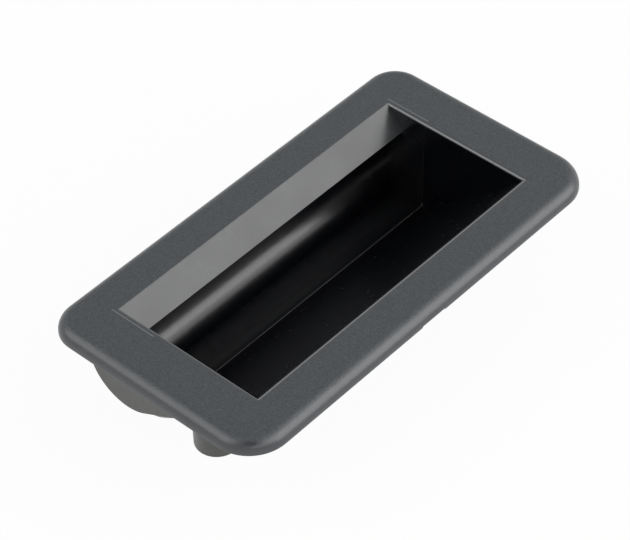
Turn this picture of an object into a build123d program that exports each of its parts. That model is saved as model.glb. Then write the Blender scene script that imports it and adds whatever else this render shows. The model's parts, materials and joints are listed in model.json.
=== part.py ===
from build123d import *

import os
from math import cos, radians, sin, tan

# Recessed pull handle for a drawer, door or lid: one injection-moulded piece.
# A long oblong flange lies on the face of the panel. Its opening drops into a cup whose floor rises
# in one shallow ramp to the near long edge. Along the far long edge a lip folds down and inward,
# and the cup is undercut behind it, so the fingers come down the ramp and hook behind the lip.
# Two screw bosses stand on the back of the flange, one beside each end of the ramp.
#
# Frame, millimetres: origin at the centre of the flange's seating plane, X along the length,
# Y across it toward the lip, +Z out of the panel. The flange is above Z 0, the cup below it.

# ---------------------------------------------------------------- flange
# Its borders, from the edges of the opening to its outline.
END_BORDER = 14.35
NEAR_BORDER = 11.4
FAR_BORDER = 10.8
FLANGE_HEIGHT = 3.5
NEAR_CORNER_R = 10.6
FAR_CORNER_R = 8.2
FLANGE_ROUND_R = 3.2
FLANGE_SKIN = 2.2
RIM_WALL = 3.0

# ---------------------------------------------------------------- opening and lip
OPENING_LENGTH = 94.0
OPENING_WIDTH = 43.0
OPENING_ROUND_R = 0.8
LIP_REACH = 5.4
LIP_DROP = 6.25
LIP_THICKNESS = 2.3
LIP_NOSE_R = 0.12

# ---------------------------------------------------------------- cup, inside
RAMP_FOOT_Y = 9.75
RAMP_FOOT_DEPTH = 26.85
RAMP_SAG = 1.05
FLOOR_BEND_R = 8.8
POCKET_REACH = 7.5
END_DRAFT_DEG = 1.0
ROOF_CORNER_R = 1.0

# ---------------------------------------------------------------- cup, outside
CUP_WALL = 2.3
CUP_END_ROUND_R = 4.4
# The flat end wall stands proud of the rounding: its lower edge runs straight, at this slope, from
# the round of the back bend up toward the boss.
END_WALL_SLOPE_DEG = 29.2

# ---------------------------------------------------------------- split line of the mould
SPLIT_GROOVE_WIDTH = 0.2
SPLIT_GROOVE_DEPTH = 0.1

# ---------------------------------------------------------------- screw bosses
# From the short edge of the opening out to the boss, and from its near edge in.
BOSS_OUTSET = 6.1
BOSS_INSET = 7.5
BOSS_R = 5.4
BOSS_DRAFT_DEG = 0.5
BOSS_LENGTH = 10.6
BOSS_CHAMFER = 0.3
PILOT_R = 1.7
PILOT_DEPTH = 10.4
PILOT_CHAMFER = 0.4

# ---------------------------------------------------------------- back of the flange
RIB_THICKNESS = 1.4
NEAR_RIB_PITCH = 24.0
NEAR_RIB_COUNT = 4
END_RIB_YS = (3.0, 16.0)
CORE_LAND = 3.1
PRY_NOTCH_WIDTH = 8.0
PRY_NOTCH_HEIGHT = 0.35

# ---------------------------------------------------------------- derived
FLANGE_LENGTH = OPENING_LENGTH + 2 * END_BORDER
FLANGE_WIDTH = OPENING_WIDTH + NEAR_BORDER + FAR_BORDER
NEAR_EDGE_Y = NEAR_BORDER - FLANGE_WIDTH / 2
FAR_EDGE_Y = FLANGE_WIDTH / 2 - FAR_BORDER
SKIN_BACK_Z = FLANGE_HEIGHT - FLANGE_SKIN
RAMP_FOOT_Z = FLANGE_HEIGHT - RAMP_FOOT_DEPTH
LIP_TIP_Y = FAR_EDGE_Y - LIP_REACH
LIP_TIP_Z = FLANGE_HEIGHT - LIP_DROP
BACK_WALL_Y = FAR_EDGE_Y + POCKET_REACH
CUP_BACK_Y = BACK_WALL_Y + CUP_WALL
BOSS_END_Z = -BOSS_LENGTH
BOSS_X = OPENING_LENGTH / 2 + BOSS_OUTSET
BOSS_Y = NEAR_EDGE_Y + BOSS_INSET
BOSS_CENTRES = ((-BOSS_X, BOSS_Y), (BOSS_X, BOSS_Y))
# Solids that are cut or joined run this far past the surface they meet.
PAST = 1.5
# Half the width of a block that reaches past the whole part in X and Y.
WIDE = FLANGE_LENGTH


def arc_through(start, end, sag):
    """The arc from start to end whose middle lies sag to the right of the chord."""
    chord = Vector(*end) - Vector(*start)
    right = Vector(chord.Y, -chord.X).normalized()
    middle = (Vector(*start) + Vector(*end)) * 0.5 + right * sag
    return ThreePointArc(Vector(*start), middle, Vector(*end))


def cup_curves():
    """Ramp, floor bend, floor, back bend and back wall, tangent to one another, in (Y, Z)."""
    ramp = arc_through((NEAR_EDGE_Y, FLANGE_HEIGHT), (RAMP_FOOT_Y, RAMP_FOOT_Z), RAMP_SAG)
    foot_slope = Vector(1, 0).get_signed_angle(ramp % 1)
    bend = JernArc(ramp @ 1, ramp % 1, FLOOR_BEND_R, abs(foot_slope))
    floor_end = Vector(BACK_WALL_Y - FLOOR_BEND_R, (bend @ 1).Y)
    floor = Line(bend @ 1, floor_end)
    back_bend = JernArc(floor @ 1, (1, 0), FLOOR_BEND_R, 90)
    return [ramp, bend, floor, back_bend]


def bowl_face():
    """Section of the cup without the lip, closed straight across at the top of the flange."""
    curves = cup_curves()
    wall_top = Vector(BACK_WALL_Y, FLANGE_HEIGHT)
    wall = Line(curves[-1] @ 1, wall_top)
    closing = Line(wall_top, curves[0] @ 0)
    return make_face(curves + [wall, closing])


def hollow_face():
    """Section of the air in the cup: the bowl less the lip and the flange over the pocket."""
    curves = cup_curves()
    # The lip is a leaning plate of even thickness, cut off level at its tip.
    lip_face = Vector(LIP_REACH, LIP_DROP)
    tip_back_y = LIP_TIP_Y + LIP_THICKNESS * lip_face.length / LIP_DROP
    root_y = tip_back_y + (SKIN_BACK_Z - LIP_TIP_Z) * LIP_REACH / LIP_DROP
    roof_end = Vector(BACK_WALL_Y, SKIN_BACK_Z)
    outline = Polyline(
        curves[-1] @ 1,
        roof_end,
        (root_y, SKIN_BACK_Z),
        (tip_back_y, LIP_TIP_Z),
        (LIP_TIP_Y, LIP_TIP_Z),
        (FAR_EDGE_Y, FLANGE_HEIGHT),
        (FAR_EDGE_Y, FLANGE_HEIGHT + PAST),
        (NEAR_EDGE_Y, FLANGE_HEIGHT + PAST),
        curves[0] @ 0,
    )
    face = make_face(curves + outline.edges())
    corners = face.vertices()
    roof = corners.sort_by_distance(roof_end)[0]
    face = fillet([roof], ROOF_CORNER_R)
    nose = face.vertices().sort_by_distance(Vector(LIP_TIP_Y, LIP_TIP_Z))[0]
    return fillet([nose], LIP_NOSE_R)


def between_ends(half_length, growth=0.0):
    """A block across Y whose end faces lean inward by the draft, half_length at the flange's top."""
    lean = tan(radians(END_DRAFT_DEG))
    top_z = FLANGE_HEIGHT + 2 * PAST
    low_z = RAMP_FOOT_Z - FLOOR_BEND_R
    top_x = half_length + growth + lean * (top_z - FLANGE_HEIGHT)
    low_x = half_length + growth - lean * (FLANGE_HEIGHT - low_z)
    profile = make_face(
        Polyline((-top_x, top_z), (-low_x, low_z), (low_x, low_z), (top_x, top_z), close=True)
    )
    return extrude(Plane.XZ * profile, WIDE, both=True)


def along_x(face, half_length, growth=0.0):
    """A section in (Y, Z) carried along X and stopped by the drafted ends."""
    bar = extrude(Plane.YZ * face, half_length + 4 * PAST, both=True)
    return bar & between_ends(half_length, growth)


def end_edges(solid, keep):
    """Edges of the two end faces whose middle passes the test keep."""
    ends = [solid.faces().sort_by(Axis.X)[0], solid.faces().sort_by(Axis.X)[-1]]
    return [edge for face in ends for edge in face.edges() if keep(edge @ 0.5)]


def cup_hollow():
    """The air inside the cup, from above the flange down to the floor and back behind the lip."""
    return along_x(hollow_face(), OPENING_LENGTH / 2)


def end_wall_face():
    """Outline of the flat end wall, in (Y, Z): the back bend's circle and the line tangent to it."""
    radius = FLOOR_BEND_R + CUP_WALL
    centre = Vector(BACK_WALL_Y - FLOOR_BEND_R, (cup_curves()[-1] @ 1).Y)
    slope = radians(END_WALL_SLOPE_DEG)
    touch = centre - Vector(sin(slope), cos(slope)) * radius
    near_end = touch + Vector(-cos(slope), sin(slope)) * WIDE
    disc = Pos(centre) * Circle(radius)
    above = make_face(
        Polyline(touch, near_end, (centre.X + radius, near_end.Y), (centre.X + radius, centre.Y),
                 centre, close=True)
    )
    return disc + above


def cup_shell():
    """The outside of the cup: the bowl grown by the wall, up into the flange, its ends rounded."""
    grown = offset(bowl_face(), CUP_WALL)
    top = Pos(0, SKIN_BACK_Z + WIDE / 2) * Rectangle(WIDE, WIDE)
    sharp = along_x(grown - top, OPENING_LENGTH / 2, CUP_WALL)
    round_edges = end_edges(sharp, lambda mid: mid.Z < SKIN_BACK_Z - 0.01)
    rounded = fillet(round_edges, CUP_END_ROUND_R)
    end_walls = sharp & extrude(Plane.YZ * end_wall_face(), WIDE, both=True)
    return rounded + end_walls


def flange_plate():
    """The flange with its rounded rim, cored from the back and ribbed."""
    corners = Rectangle(FLANGE_LENGTH, FLANGE_WIDTH).vertices().sort_by(Axis.Y)
    plan = fillet(corners[:2], NEAR_CORNER_R)
    plan = fillet(plan.vertices().sort_by(Axis.Y)[-2:], FAR_CORNER_R)
    plate = extrude(plan, FLANGE_HEIGHT)
    rim_edges = plate.faces().sort_by(Axis.Z)[-1].edges()
    plate = fillet(rim_edges, FLANGE_ROUND_R)
    core_plan = offset(plan, -RIM_WALL)
    land = Pos(0, CUP_BACK_Y - CORE_LAND + WIDE / 2) * Rectangle(2 * WIDE, WIDE)
    core = extrude(core_plan - land, SKIN_BACK_Z)
    return plate - (core - ribs())


def ribs():
    """Thin ribs that tie the rim of the flange to the cup across the cored back."""
    height = SKIN_BACK_Z + 2 * PAST
    middle_z = SKIN_BACK_Z - height / 2 + PAST
    out = []
    for place in GridLocations(NEAR_RIB_PITCH, 0, NEAR_RIB_COUNT, 1):
        x = place.position.X
        near = Pos(x, -FLANGE_WIDTH / 4, middle_z) * Box(RIB_THICKNESS, FLANGE_WIDTH / 2, height)
        out.append(near)
    for y in END_RIB_YS:
        out.append(Pos(0, y, middle_z) * Box(FLANGE_LENGTH, RIB_THICKNESS, height))
    return Compound(out)


def boss(x, y):
    """A screw boss, slightly tapered, standing on the back of the flange."""
    root_z = SKIN_BACK_Z
    root_r = BOSS_R + tan(radians(BOSS_DRAFT_DEG)) * (root_z - BOSS_END_Z)
    profile = make_face(
        Polyline(
            (0, BOSS_END_Z),
            (BOSS_R - BOSS_CHAMFER, BOSS_END_Z),
            (BOSS_R, BOSS_END_Z + BOSS_CHAMFER),
            (root_r, root_z),
            (0, root_z),
            close=True,
        )
    )
    return Pos(x, y) * revolve(Plane.XZ * profile, Axis.Z)


def pilot_hole(x, y):
    """The blind hole of a boss for a thread-forming screw, with a lead-in chamfer."""
    profile = make_face(
        Polyline(
            (0, BOSS_END_Z - PAST),
            (PILOT_R + PILOT_CHAMFER + PAST, BOSS_END_Z - PAST),
            (PILOT_R, BOSS_END_Z + PILOT_CHAMFER),
            (PILOT_R, BOSS_END_Z + PILOT_DEPTH),
            (0, BOSS_END_Z + PILOT_DEPTH),
            close=True,
        )
    )
    return Pos(x, y) * revolve(Plane.XZ * profile, Axis.Z)


def split_groove():
    """The hairline left by the mould's split: across the foot of the ramp and up both ends."""
    grown = along_x(offset(bowl_face(), SPLIT_GROOVE_DEPTH), OPENING_LENGTH / 2, SPLIT_GROOVE_DEPTH)
    top_z = FLANGE_HEIGHT - 1.5 * OPENING_ROUND_R
    slab = Pos(0, RAMP_FOOT_Y, top_z - WIDE / 2) * Box(2 * WIDE, SPLIT_GROOVE_WIDTH, WIDE)
    return grown & slab


def opening_edges(part):
    """The four edges where the top of the flange meets the opening."""
    reach_x = OPENING_LENGTH / 2 + PAST
    reach_y = OPENING_WIDTH / 2 + PAST
    return [
        edge
        for edge in part.edges()
        if abs((edge @ 0.5).Z - FLANGE_HEIGHT) < 1e-3
        and abs((edge @ 0.5).X) < reach_x
        and abs((edge @ 0.5).Y) < reach_y
    ]


def pull_handle():
    """The whole moulding."""
    body = flange_plate() + cup_shell()
    for x, y in BOSS_CENTRES:
        body += boss(x, y)
    body -= cup_hollow()
    body = fillet(opening_edges(body), OPENING_ROUND_R)
    for x, y in BOSS_CENTRES:
        body -= pilot_hole(x, y)
    body -= split_groove()
    notch_depth = 2 * RIM_WALL
    notch = Box(PRY_NOTCH_WIDTH, notch_depth, 2 * PRY_NOTCH_HEIGHT)
    body -= Pos(0, -FLANGE_WIDTH / 2, 0) * notch
    return body


os.makedirs("parts", exist_ok=True)
export_step(pull_handle(), "parts/pull_handle_body.step")
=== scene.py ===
import json
import logging
import math
from dataclasses import dataclass, field
from enum import Enum
from typing import Iterable

import bpy
from mathutils import Matrix, Vector

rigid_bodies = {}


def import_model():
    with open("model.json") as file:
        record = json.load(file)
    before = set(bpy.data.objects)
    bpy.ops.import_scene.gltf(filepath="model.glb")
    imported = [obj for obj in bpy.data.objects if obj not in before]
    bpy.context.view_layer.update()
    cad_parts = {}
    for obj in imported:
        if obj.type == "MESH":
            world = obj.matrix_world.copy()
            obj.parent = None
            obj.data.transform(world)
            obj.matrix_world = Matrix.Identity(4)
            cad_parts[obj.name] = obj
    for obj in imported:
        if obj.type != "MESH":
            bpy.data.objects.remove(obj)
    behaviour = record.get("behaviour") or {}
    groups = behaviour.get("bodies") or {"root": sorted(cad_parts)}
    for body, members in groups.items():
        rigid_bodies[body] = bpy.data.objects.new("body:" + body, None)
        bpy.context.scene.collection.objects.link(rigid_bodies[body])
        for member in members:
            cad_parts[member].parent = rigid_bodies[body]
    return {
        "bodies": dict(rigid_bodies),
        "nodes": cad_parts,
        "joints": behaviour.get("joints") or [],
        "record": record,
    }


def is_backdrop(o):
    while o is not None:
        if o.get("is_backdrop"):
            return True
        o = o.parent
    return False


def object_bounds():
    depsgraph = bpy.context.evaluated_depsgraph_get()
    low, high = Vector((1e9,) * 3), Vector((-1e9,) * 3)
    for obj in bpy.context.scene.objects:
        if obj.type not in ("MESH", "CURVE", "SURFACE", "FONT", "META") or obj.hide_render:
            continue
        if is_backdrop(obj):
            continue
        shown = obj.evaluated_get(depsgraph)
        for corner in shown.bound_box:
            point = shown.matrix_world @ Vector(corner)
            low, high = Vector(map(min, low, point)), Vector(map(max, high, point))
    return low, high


LOG = logging.getLogger("pull_handle")

BODY_NODE = "pull_handle_body"

Socket = bpy.types.NodeSocket
Rgb = tuple[float, float, float]


class Op(Enum):
    """The arithmetic that the node sheets use."""

    ADD = "ADD"
    SUBTRACT = "SUBTRACT"
    MULTIPLY = "MULTIPLY"
    MAXIMUM = "MAXIMUM"
    MINIMUM = "MINIMUM"
    ABSOLUTE = "ABSOLUTE"


class MixKind(Enum):
    """What a mix node mixes, then the numbers of its two inputs and its output."""

    NUMBER = ("FLOAT", 2, 3, 0)
    COLOUR = ("RGBA", 6, 7, 2)


@dataclass(frozen=True)
class Edge:
    """Where one area gives way to the next, and half the width of the change."""

    place: float
    soft: float


@dataclass(frozen=True)
class Span:
    """One range carried to another."""

    low: float
    high: float
    to_low: float
    to_high: float


@dataclass(frozen=True)
class Cloud:
    """A cloud of noise: cells per metre, octaves, and how strong each finer octave is."""

    scale: float
    detail: float
    roughness: float


class NodeSheet:
    """A short way to write the node tree of a material or world."""

    def __init__(self, owner: bpy.types.Material | bpy.types.World) -> None:
        """Empty the owner's tree.

        Args:
            owner: the material or world whose tree is written.
        """
        owner.use_nodes = True
        self.tree = owner.node_tree
        self.tree.nodes.clear()

    def add(self, kind: str, **settings: object) -> bpy.types.Node:
        """Make one node.

        Args:
            kind: Blender's name for the node type.
            settings: the node's own properties.

        Returns:
            The new node.
        """
        node = self.tree.nodes.new(kind)
        for name, value in settings.items():
            setattr(node, name, value)
        return node

    def link(self, source: Socket, target: Socket) -> None:
        """Join an output to an input."""
        self.tree.links.new(source, target)

    def feed(self, target: Socket, given: object) -> None:
        """Give an input its value.

        Args:
            target: the input.
            given: a plain value to set, or an output to link.
        """
        if isinstance(given, Socket):
            self.link(given, target)
        else:
            target.default_value = given

    def value(self, node: bpy.types.Node, **inputs: object) -> None:
        """Set a node's inputs by name.

        Args:
            node: the node.
            inputs: plain values, or outputs to link.
        """
        for name, given in inputs.items():
            self.feed(node.inputs[name], given)

    def math(self, operation: Op, *terms: object) -> Socket:
        """One arithmetic step.

        Args:
            operation: the step.
            terms: numbers or outputs, in order.

        Returns:
            The result.
        """
        node = self.add("ShaderNodeMath", operation=operation.value)
        for slot, term in zip(node.inputs, terms):
            self.feed(slot, term)
        return node.outputs[0]

    def product(self, first: object, *others: object) -> Socket:
        """Multiply several terms.

        Args:
            first: a number or an output.
            others: what it is multiplied by, in order.

        Returns:
            The product.
        """
        result = first
        for term in others:
            result = self.math(Op.MULTIPLY, result, term)
        return result

    def noise(self, vector: Socket, cloud: Cloud) -> Socket:
        """A cloud of noise.

        Args:
            vector: where it is looked up.
            cloud: how fine and how rough it is.

        Returns:
            Its value, about 0.5 on average.
        """
        node = self.add("ShaderNodeTexNoise")
        self.value(
            node, Vector=vector, Scale=cloud.scale, Detail=cloud.detail, Roughness=cloud.roughness
        )
        return node.outputs["Fac"]

    def remap(self, source: Socket, span: Span) -> Socket:
        """Carry one range to another, held at its ends.

        Args:
            source: the value.
            span: the two ranges.

        Returns:
            The carried value.
        """
        node = self.add("ShaderNodeMapRange")
        node.clamp = True
        self.link(source, node.inputs["Value"])
        node.inputs["From Min"].default_value = span.low
        node.inputs["From Max"].default_value = span.high
        node.inputs["To Min"].default_value = span.to_low
        node.inputs["To Max"].default_value = span.to_high
        return node.outputs["Result"]

    def step(self, at: Socket, edge: Edge) -> Socket:
        """0 before an edge and 1 past it."""
        return self.remap(at, Span(edge.place - edge.soft, edge.place + edge.soft, 0.0, 1.0))

    def fall(self, at: Socket, edge: Edge) -> Socket:
        """1 before an edge and 0 past it."""
        return self.remap(at, Span(edge.place - edge.soft, edge.place + edge.soft, 1.0, 0.0))

    def line(self, at: Socket, centre: float, half: float) -> Socket:
        """A thin line where a coordinate has one value.

        Args:
            at: the coordinate.
            centre: the line's place.
            half: half its width.

        Returns:
            1 on the line and 0 beside it.
        """
        gap = self.math(Op.ABSOLUTE, self.math(Op.SUBTRACT, at, centre))
        return self.fall(gap, Edge(1.1 * half, 0.5 * half))

    def mix(self, kind: MixKind, share: Socket, low: object, high: object) -> Socket:
        """Mix two colours or two numbers.

        Args:
            kind: which of the two.
            share: how much of the second.
            low: the first, plain or an output.
            high: the second, plain or an output.

        Returns:
            The mixture.
        """
        data_type, low_slot, high_slot, result = kind.value
        node = self.add("ShaderNodeMix", data_type=data_type)
        self.link(share, node.inputs["Factor"])
        for slot, given in ((low_slot, low), (high_slot, high)):
            self.feed(node.inputs[slot], (*given, 1.0) if isinstance(given, tuple) else given)
        return node.outputs[result]

    def shade(self, colour: Socket, level: Socket) -> Socket:
        """Lighten or darken a colour.

        Args:
            colour: the colour.
            level: what it is multiplied by.

        Returns:
            The new colour.
        """
        node = self.add("ShaderNodeVectorMath", operation="SCALE")
        self.link(colour, node.inputs[0])
        self.link(level, node.inputs["Scale"])
        return node.outputs[0]

    def seen_rays(self) -> Socket:
        """Tell what is seen, or shown by metal and glass, from what lights the object.

        Returns:
            1 for rays of the eye, of reflections and through glass, and 0 for the rest.
        """
        path = self.add("ShaderNodeLightPath")
        seen = self.math(
            Op.ADD, path.outputs["Is Camera Ray"], path.outputs["Is Glossy Ray"]
        )
        seen = self.math(Op.ADD, seen, path.outputs["Is Transmission Ray"])
        return self.math(Op.MINIMUM, seen, 1.0)


@dataclass(frozen=True)
class Zone:
    """How one area of the moulding is finished."""

    colour: Rgb
    roughness: float


@dataclass(frozen=True)
class Place:
    """A point of the moulding in the part's own frame, as outputs.

    x is the distance from the middle along the length, y the place across the flange, z the
    height over the seat and depth the same downward.
    """

    point: Socket
    x: Socket
    y: Socket
    z: Socket
    depth: Socket


@dataclass(frozen=True)
class Areas:
    """How far a point lies in each area of the moulding, from 0 to 1.

    frame is the flange's face and rim, flat the height of its level face, inside the cup and deep
    its lower part. The mould line's pale colour is a painted highlight, and the line shares one
    area with the pale dust. edge is the painted highlight on the opening's rounded edge and hair
    the insert's hairline: the two thin pale lines round the opening.
    """

    frame: Socket
    flat: Socket
    inside: Socket
    deep: Socket
    split_glint_and_dust: Socket
    edge: Socket
    hair: Socket


@dataclass(frozen=True)
class MouldedPlastic:
    """Black moulded plastic: spark-eroded grain on the frame, polish in the cup, plain behind.

    All lengths are metres in the part's own frame.
    """

    name: str = "black_moulded_plastic"
    ior: float = 1.5
    specular: float = 0.9

    # Finishes.
    grained: Zone = Zone((0.012, 0.018, 0.023), 0.42)
    # The rim is coloured lighter than the grained face: painted sheen for the floor light that
    # the rim reflects.
    rim: Zone = Zone((0.024, 0.028, 0.034), 0.32)
    polished: Zone = Zone((0.0012, 0.0016, 0.003), 0.25)
    plain: Zone = Zone((0.026, 0.026, 0.023), 0.40)
    pocket_roughness: float = 0.24
    ramp_roughness: float = 0.25
    floor_roughness: float = 0.42
    split_glint_and_dust_roughness: float = 0.25
    haze_colour: Rgb = (0.030, 0.032, 0.034)
    # Pale colour for the mould line, where it is a painted highlight, and for the real dust.
    split_glint_and_dust_colour: Rgb = (0.42, 0.42, 0.43)
    # Pale colour for the painted highlight on the opening's rounded edge, also used for the
    # insert's hairline.
    edge_highlight_and_hairline_colour: Rgb = (0.15, 0.155, 0.16)

    # The opening and the frame round it.
    opening_half: float = 0.0470
    opening_near: float = -0.0212
    opening_far: float = 0.0218
    edge_round: float = 0.0008
    frame_soft: float = 0.00012
    frame_far_soft: float = 0.0001
    frame_back: Edge = Edge(-0.0003, 0.0002)
    flat_start: Edge = Edge(0.0031, 0.0003)

    # The middle of the cup's walls, which parts the inside from the back. The ramp's wall is a
    # slope, given by its direction in y and z.
    end_wall: Edge = Edge(0.0482, 0.0002)
    back_wall: Edge = Edge(0.0304, 0.0002)
    floor_wall: Edge = Edge(-0.0261, 0.0002)
    ramp_wall: Edge = Edge(-0.01295, 0.0002)
    ramp_y: float = 0.655
    ramp_z: float = 0.756

    # Areas within the cup.
    deep_start: Edge = Edge(0.0085, 0.004)
    lip_start: Edge = Edge(0.0155, 0.0008)
    lip_foot: Edge = Edge(-0.0035, 0.0003)
    pocket_start: Edge = Edge(0.0195, 0.0015)

    # The mould line across the foot of the ramp. Its pale colour is a painted highlight,
    # strongest on the floor and fading up the end walls.
    split_y: float = 0.00975
    split_half: float = 0.0001
    split_fade: Span = Span(-0.0228, -0.0224, 1.0, 0.03)

    # The thin pale line on the opening's rounded edge, a painted highlight.
    edge_highlight_out: float = 0.00034
    edge_highlight_half: float = 0.00016
    edge_highlight_height: Edge = Edge(0.0026, 0.0003)
    edge_highlight_soft: float = 0.0001

    # The hairline of the mould's insert, beside the opening's short edges.
    hair_x: float = 0.0485
    hair_half: float = 0.00009
    hair_past_opening: float = 0.00105
    hair_soft: float = 0.00015
    hair_cut: float = 0.00004

    # Dust: cells per metre, the size of a speck in its cell, the rare cells that hold one, and
    # how strongly it shows.
    dust_scale: float = 210.0
    dust_size: Edge = Edge(0.028, 0.006)
    dust_rarity: Edge = Edge(0.91, 0.01)
    dust_share: float = 0.16

    # Unevenness of colour and finish.
    haze: Cloud = Cloud(48.0, 3.0, 0.6)
    haze_span: Span = Span(0.36, 0.64, 0.0, 1.0)
    tone: Cloud = Cloud(780.0, 3.0, 0.6)
    tone_span: Span = Span(0.3, 0.7, 0.85, 1.15)
    freckle: Cloud = Cloud(2210.0, 2.0, 0.8)
    freckle_span: Span = Span(0.36, 0.64, 0.0, 2.0)
    patch: Cloud = Cloud(420.0, 4.0, 0.65)
    patch_span: Span = Span(0.3, 0.7, 0.90, 1.10)

    # Relief. The rim takes a share of the frame's.
    grain: Cloud = Cloud(2600.0, 2.0, 0.6)
    grain_height: float = 0.000095
    mottle: Cloud = Cloud(780.0, 2.0, 0.5)
    mottle_height: float = 0.000042
    swell: Cloud = Cloud(120.0, 2.0, 0.5)
    swell_height: float = 0.000006
    rim_relief: float = 0.16

    def make(self) -> bpy.types.Material:
        """Build the material.

        Returns:
            The finished material.
        """
        material = bpy.data.materials.new(self.name)
        sheet = NodeSheet(material)
        at = self.place(sheet)
        areas = self.areas(sheet, at)
        shader = sheet.add("ShaderNodeBsdfPrincipled")
        shader.inputs["IOR"].default_value = self.ior
        shader.inputs["Specular IOR Level"].default_value = self.specular
        sheet.link(self.colour(sheet, at, areas), shader.inputs["Base Color"])
        sheet.link(self.roughness(sheet, at, areas), shader.inputs["Roughness"])
        sheet.link(self.relief(sheet, at, areas), shader.inputs["Normal"])
        out = sheet.add("ShaderNodeOutputMaterial")
        sheet.link(shader.outputs["BSDF"], out.inputs["Surface"])
        return material

    def place(self, sheet: NodeSheet) -> Place:
        """Read a point's coordinates.

        Args:
            sheet: the tree being written.

        Returns:
            The coordinates.
        """
        point = sheet.add("ShaderNodeTexCoord").outputs["Object"]
        split = sheet.add("ShaderNodeSeparateXYZ")
        sheet.link(point, split.inputs[0])
        x, y, z = split.outputs
        return Place(point, sheet.math(Op.ABSOLUTE, x), y, z, sheet.product(z, -1.0))

    def areas(self, sheet: NodeSheet, at: Place) -> Areas:
        """Part the moulding into its areas.

        Args:
            sheet: the tree being written.
            at: the point.

        Returns:
            The point's share in each area.
        """
        frame = self.frame_mask(sheet, at)
        inside = self.inside_mask(sheet, at)
        deep = sheet.step(at.depth, self.deep_start)
        # The mould line, painted pale as a highlight that fades with height up the end walls.
        split = sheet.product(
            inside,
            sheet.line(at.y, self.split_y, self.split_half),
            sheet.remap(at.z, self.split_fade),
        )
        dust = sheet.product(self.dust_mask(sheet, at), deep, inside, self.dust_share)
        return Areas(
            frame=frame,
            flat=sheet.step(at.z, self.flat_start),
            inside=inside,
            deep=deep,
            split_glint_and_dust=sheet.math(Op.MAXIMUM, split, dust),
            edge=self.edge_highlight_mask(sheet, at),
            hair=self.hair_mask(sheet, at, frame),
        )

    def colour(self, sheet: NodeSheet, at: Place, areas: Areas) -> Socket:
        """Colour each area.

        Args:
            sheet: the tree being written.
            at: the point.
            areas: its share in each area.

        Returns:
            The colour.
        """
        kind = MixKind.COLOUR
        colour = sheet.mix(kind, areas.inside, self.plain.colour, self.polished.colour)
        # The rim's lighter colour is painted sheen.
        on_frame = sheet.mix(kind, areas.flat, self.rim.colour, self.grained.colour)
        lip = sheet.product(
            sheet.step(at.y, self.lip_start), sheet.step(at.z, self.lip_foot), areas.inside
        )
        haze = sheet.remap(sheet.noise(at.point, self.haze), self.haze_span)
        colour = sheet.mix(kind, sheet.product(haze, lip), colour, self.haze_colour)
        colour = sheet.mix(kind, areas.frame, colour, on_frame)
        tone = sheet.remap(sheet.noise(at.point, self.tone), self.tone_span)
        freckle = sheet.remap(sheet.noise(at.point, self.freckle), self.freckle_span)
        freckle = sheet.mix(MixKind.NUMBER, areas.flat, tone, freckle)
        colour = sheet.shade(colour, sheet.mix(MixKind.NUMBER, areas.frame, tone, freckle))
        # Painted highlight along the mould line, and pale specks of dust.
        colour = sheet.mix(kind, areas.split_glint_and_dust, colour, self.split_glint_and_dust_colour)
        # Painted highlight on the opening's rounded edge, and the hairline in the same pale
        # colour.
        edge_highlight_and_hairline = sheet.math(Op.MAXIMUM, areas.edge, areas.hair)
        return sheet.mix(kind, edge_highlight_and_hairline, colour, self.edge_highlight_and_hairline_colour)

    def roughness(self, sheet: NodeSheet, at: Place, areas: Areas) -> Socket:
        """Roughen each area.

        Args:
            sheet: the tree being written.
            at: the point.
            areas: its share in each area.

        Returns:
            The roughness.
        """
        kind = MixKind.NUMBER
        past_split = sheet.step(at.y, Edge(self.split_y, self.split_half))
        floor = sheet.mix(kind, past_split, self.ramp_roughness, self.floor_roughness)
        in_pocket = sheet.step(at.y, self.pocket_start)
        cup = sheet.mix(kind, in_pocket, floor, self.pocket_roughness)
        cup = sheet.mix(kind, areas.deep, self.polished.roughness, cup)
        rough = sheet.mix(kind, areas.inside, self.plain.roughness, cup)
        on_frame = sheet.mix(kind, areas.flat, self.rim.roughness, self.grained.roughness)
        rough = sheet.mix(kind, areas.frame, rough, on_frame)
        patch = sheet.remap(sheet.noise(at.point, self.patch), self.patch_span)
        split_glint_and_dust = sheet.product(areas.split_glint_and_dust, self.split_glint_and_dust_roughness)
        return sheet.math(Op.ADD, sheet.product(rough, patch), split_glint_and_dust)

    def relief(self, sheet: NodeSheet, at: Place, areas: Areas) -> Socket:
        """Grain, mottle, a slow swell, and the cut of the hairline.

        Args:
            sheet: the tree being written.
            at: the point.
            areas: its share in each area.

        Returns:
            The bumped normal.
        """
        share = sheet.remap(areas.flat, Span(0.0, 1.0, self.rim_relief, 1.0))
        depth = sheet.product(areas.frame, share)
        fine = sheet.product(sheet.noise(at.point, self.grain), depth, self.grain_height)
        broad = sheet.product(sheet.noise(at.point, self.mottle), depth, self.mottle_height)
        slow = sheet.product(sheet.noise(at.point, self.swell), self.swell_height)
        cut = sheet.product(areas.hair, -self.hair_cut)
        height = sheet.math(
            Op.ADD, sheet.math(Op.ADD, fine, broad), sheet.math(Op.ADD, slow, cut)
        )
        bumps = sheet.add("ShaderNodeBump")
        sheet.value(bumps, Strength=1.0, Distance=1.0, Height=height)
        return bumps.outputs["Normal"]

    def frame_mask(self, sheet: NodeSheet, at: Place) -> Socket:
        """The flange's face and rim, round the opening and its rounded edge.

        Args:
            sheet: the tree being written.
            at: the point.

        Returns:
            1 on the frame and 0 elsewhere.
        """
        ends = sheet.step(at.x, Edge(self.opening_half + self.edge_round, self.frame_soft))
        near = sheet.fall(at.y, Edge(self.opening_near - self.edge_round, self.frame_soft))
        far = sheet.step(at.y, Edge(self.opening_far, self.frame_far_soft))
        around = sheet.math(Op.MAXIMUM, ends, sheet.math(Op.MAXIMUM, near, far))
        return sheet.product(around, sheet.step(at.z, self.frame_back))

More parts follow.
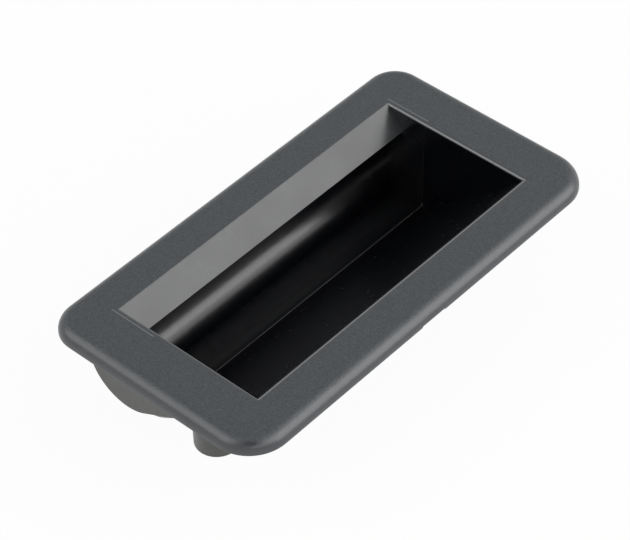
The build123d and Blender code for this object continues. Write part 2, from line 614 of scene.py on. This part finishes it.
    def inside_mask(self, sheet: NodeSheet, at: Place) -> Socket:
        """The inside of the cup, between the middles of its walls.

        The walls' middles are planes here, so the outside of the two bends counts as inside.

        Args:
            sheet: the tree being written.
            at: the point.

        Returns:
            1 inside the cup and 0 on its back.
        """
        slope = sheet.math(
            Op.ADD, sheet.product(at.y, self.ramp_y), sheet.product(at.z, self.ramp_z)
        )
        return sheet.product(
            sheet.fall(at.x, self.end_wall),
            sheet.fall(at.y, self.back_wall),
            sheet.step(at.z, self.floor_wall),
            sheet.step(slope, self.ramp_wall),
        )

    def edge_highlight_mask(self, sheet: NodeSheet, at: Place) -> Socket:
        """The painted highlight: a thin pale line along the rounded edge of the opening's short
        and near sides.

        Args:
            sheet: the tree being written.
            at: the point.

        Returns:
            1 on the line and 0 elsewhere.
        """
        soft = self.edge_highlight_soft
        ends = sheet.product(
            sheet.line(at.x, self.opening_half + self.edge_highlight_out, self.edge_highlight_half),
            sheet.fall(at.y, Edge(self.opening_far - soft, soft)),
            sheet.step(at.y, Edge(self.opening_near - 4.0 * soft, soft)),
        )
        near = sheet.product(
            sheet.line(at.y, self.opening_near - self.edge_highlight_out, self.edge_highlight_half),
            sheet.fall(at.x, Edge(self.opening_half + 4.0 * soft, soft)),
        )
        return sheet.product(
            sheet.math(Op.MAXIMUM, ends, near), sheet.step(at.z, self.edge_highlight_height)
        )

    def hair_mask(self, sheet: NodeSheet, at: Place, frame: Socket) -> Socket:
        """The hairline that the mould's insert leaves beside the opening's short edges.

        Args:
            sheet: the tree being written.
            at: the point.
            frame: its share in the frame.

        Returns:
            1 on the hairline and 0 elsewhere.
        """
        end = Edge(self.opening_far + self.hair_past_opening, self.hair_soft)
        return sheet.product(
            sheet.line(at.x, self.hair_x, self.hair_half),
            frame,
            sheet.step(at.y, Edge(self.split_y, self.split_half)),
            sheet.fall(at.y, end),
        )

    def dust_mask(self, sheet: NodeSheet, at: Place) -> Socket:
        """A few specks of dust.

        Args:
            sheet: the tree being written.
            at: the point.

        Returns:
            1 on a speck and 0 elsewhere.
        """
        cells = sheet.add("ShaderNodeTexVoronoi")
        sheet.value(cells, Vector=at.point, Scale=self.dust_scale, Randomness=1.0)
        chance = sheet.add("ShaderNodeSeparateColor")
        sheet.link(cells.outputs["Color"], chance.inputs[0])
        return sheet.product(
            sheet.fall(cells.outputs["Distance"], self.dust_size),
            sheet.step(chance.outputs[0], self.dust_rarity),
        )


@dataclass(frozen=True)
class StudioWhite:
    """The pale floor: it takes the shadow, and reads white to the eye and in reflections."""

    name: str = "studio_white"
    colour: float = 0.88
    glow_share: float = 0.95

    def make(self) -> bpy.types.Material:
        """Build the material.

        Returns:
            The finished material.
        """
        material = bpy.data.materials.new(self.name)
        sheet = NodeSheet(material)
        matt = sheet.add("ShaderNodeBsdfDiffuse")
        matt.inputs["Color"].default_value = (self.colour, self.colour, self.colour, 1.0)
        glow = sheet.add("ShaderNodeEmission")
        glow.inputs["Strength"].default_value = 1.0
        share = sheet.product(sheet.seen_rays(), self.glow_share)
        mix = sheet.add("ShaderNodeMixShader")
        sheet.link(share, mix.inputs[0])
        sheet.link(matt.outputs[0], mix.inputs[1])
        sheet.link(glow.outputs[0], mix.inputs[2])
        out = sheet.add("ShaderNodeOutputMaterial")
        sheet.link(mix.outputs[0], out.inputs["Surface"])
        return material


@dataclass
class SoftBox:
    """One rectangular soft light. Its direction is from the object; radiance 1 is white."""

    name: str
    direction: tuple[float, float, float]
    distance: float
    width: float
    height: float
    radiance: float

    def build(self, target: Vector) -> bpy.types.Object:
        """Hang the light and turn it to the object.

        Args:
            target: the point it shines at.

        Returns:
            The light's object.
        """
        data = bpy.data.lights.new(self.name, "AREA")
        data.shape = "RECTANGLE"
        data.size = self.width
        data.size_y = self.height
        data.energy = self.radiance * math.pi * self.width * self.height
        light = bpy.data.objects.new(self.name, data)
        bpy.context.scene.collection.objects.link(light)
        away = Vector(self.direction).normalized()
        light.location = target + away * self.distance
        light.rotation_euler = away.to_track_quat("Z", "Y").to_euler()
        return light


@dataclass
class Studio:
    """Floor, world and lights."""

    floor_half: float = 3.0
    floor_gap: float = 0.0002
    ambient: float = 0.5
    lights: list[SoftBox] = field(
        default_factory=lambda: [
            SoftBox("key", (0.56, -0.74, 0.40), 1.2, 1.3, 0.85, 2.0),
            SoftBox("key_upper", (0.46, -0.40, 0.79), 1.3, 1.4, 0.75, 0.85),
            SoftBox("front", (-0.28, -0.75, 0.60), 1.2, 1.1, 0.85, 1.2),
            SoftBox("side", (-0.62, 0.42, 0.60), 1.2, 1.2, 0.9, 1.3),
        ]
    )

    def build(self, low_z: float, target: Vector) -> None:
        """Lay the floor, set the world and hang the lights.

        Args:
            low_z: the object's lowest height.
            target: the point the lights shine at.
        """
        scene = bpy.context.scene
        scene.view_settings.view_transform = "Standard"
        half = self.floor_half
        mesh = bpy.data.meshes.new("studio_floor")
        corners = [(-half, -half, 0), (half, -half, 0), (half, half, 0), (-half, half, 0)]
        mesh.from_pydata(corners, [], [(0, 1, 2, 3)])
        mesh.materials.append(StudioWhite().make())
        floor = bpy.data.objects.new("studio_floor", mesh)
        floor.location = (0.0, 0.0, low_z - self.floor_gap)
        scene.collection.objects.link(floor)
        floor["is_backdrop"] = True
        self.build_world(scene)
        for light in self.lights:
            light.build(target)

    def build_world(self, scene: bpy.types.Scene) -> None:
        """An even world: dim to light by, white to the eye and in reflections.

        Args:
            scene: the scene that takes it.
        """
        world = bpy.data.worlds.new("studio_world")
        scene.world = world
        sheet = NodeSheet(world)
        back = sheet.add("ShaderNodeBackground")
        strength = sheet.remap(sheet.seen_rays(), Span(0.0, 1.0, self.ambient, 1.0))
        sheet.link(strength, back.inputs["Strength"])
        out = sheet.add("ShaderNodeOutputWorld")
        sheet.link(back.outputs[0], out.inputs["Surface"])


@dataclass
class StudioCamera:
    """A long lens that looks down on the flange from its near left corner."""

    azimuth: float = -47.8416
    elevation: float = 43.8466
    roll: float = -1.0131
    distance: float = 0.62383
    lens: float = 152.213
    sensor: float = 36.0
    shift_x: float = -0.019774
    shift_y: float = -0.042665
    nearest: float = 0.01
    farthest: float = 20.0
    front_radius: float = 0.20
    front_gap: float = 0.03
    front_sides: int = 32
    front_shade: float = 0.01

    def build(self, target: Vector) -> bpy.types.Object:
        """Make the camera and give it to the scene.

        Args:
            target: the point on the lens's axis.

        Returns:
            The camera.
        """
        turn = math.radians(self.azimuth)
        rise = math.radians(self.elevation)
        roll = math.radians(self.roll)
        back = Vector(
            (math.sin(turn) * math.cos(rise), -math.cos(turn) * math.cos(rise), math.sin(rise))
        )
        level = Vector((0, 0, 1)).cross(back).normalized()
        up = back.cross(level)
        right = level * math.cos(roll) + up * math.sin(roll)
        up = back.cross(right)
        data = bpy.data.cameras.new("studio_camera")
        data.sensor_width = self.sensor
        data.lens = self.lens
        data.shift_x = self.shift_x
        data.shift_y = self.shift_y
        data.clip_start = self.nearest
        data.clip_end = self.farthest
        camera = bpy.data.objects.new("studio_camera", data)
        place = Matrix((right, up, back)).transposed().to_4x4()
        place.translation = target + back * self.distance
        camera.matrix_world = place
        bpy.context.scene.collection.objects.link(camera)
        bpy.context.scene.camera = camera
        self.build_front(place, target, back)
        return camera

    def build_front(self, place: Matrix, target: Vector, back: Vector) -> None:
        """The camera's own dark front, which only glossy surfaces show.

        Args:
            place: the camera's placement.
            target: the point on the lens's axis.
            back: the way from the target to the camera.
        """
        mesh = bpy.data.meshes.new("camera_front")
        sides = range(self.front_sides)
        turns = [2.0 * math.pi * side / self.front_sides for side in sides]
        radius = self.front_radius
        ring = [(radius * math.cos(turn), radius * math.sin(turn), 0.0) for turn in turns]
        mesh.from_pydata(ring, [], [tuple(sides)])
        material = bpy.data.materials.new("camera_black")
        sheet = NodeSheet(material)
        matt = sheet.add("ShaderNodeBsdfDiffuse")
        matt.inputs["Color"].default_value = (*[self.front_shade] * 3, 1.0)
        out = sheet.add("ShaderNodeOutputMaterial")
        sheet.link(matt.outputs[0], out.inputs["Surface"])
        mesh.materials.append(material)
        front = bpy.data.objects.new("camera_front", mesh)
        seat = place.copy()
        seat.translation = target + back * (self.distance + self.front_gap)
        front.matrix_world = seat
        front.visible_camera = False
        front.visible_diffuse = False
        front.visible_shadow = False
        bpy.context.scene.collection.objects.link(front)
        front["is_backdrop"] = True


@dataclass
class PullHandle:
    """The moulding itself: the CAD node in its finish."""

    finish: MouldedPlastic = field(default_factory=MouldedPlastic)

    def dress(self, body: bpy.types.Object) -> None:
        """Put the finish on the moulding.

        Args:
            body: the node's object.
        """
        material = self.finish.make()
        if not body.material_slots:
            body.data.materials.append(material)
        for slot in body.material_slots:
            slot.material = material


def main() -> None:
    """Load the frame, dress the handle, and set the studio round it."""
    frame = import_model()
    cad_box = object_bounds()
    low, high = cad_box
    body = frame["nodes"][BODY_NODE]
    PullHandle().dress(body)
    LOG.info("%s dressed, %d faces", BODY_NODE, len(body.data.polygons))
    top_centre = Vector((0.0, 0.0, high.z))
    Studio().build(low.z, top_centre)
    StudioCamera().build(top_centre)
    LOG.info("sizes written")


if __name__ == "__main__":
    logging.basicConfig(level=logging.INFO)
    main()
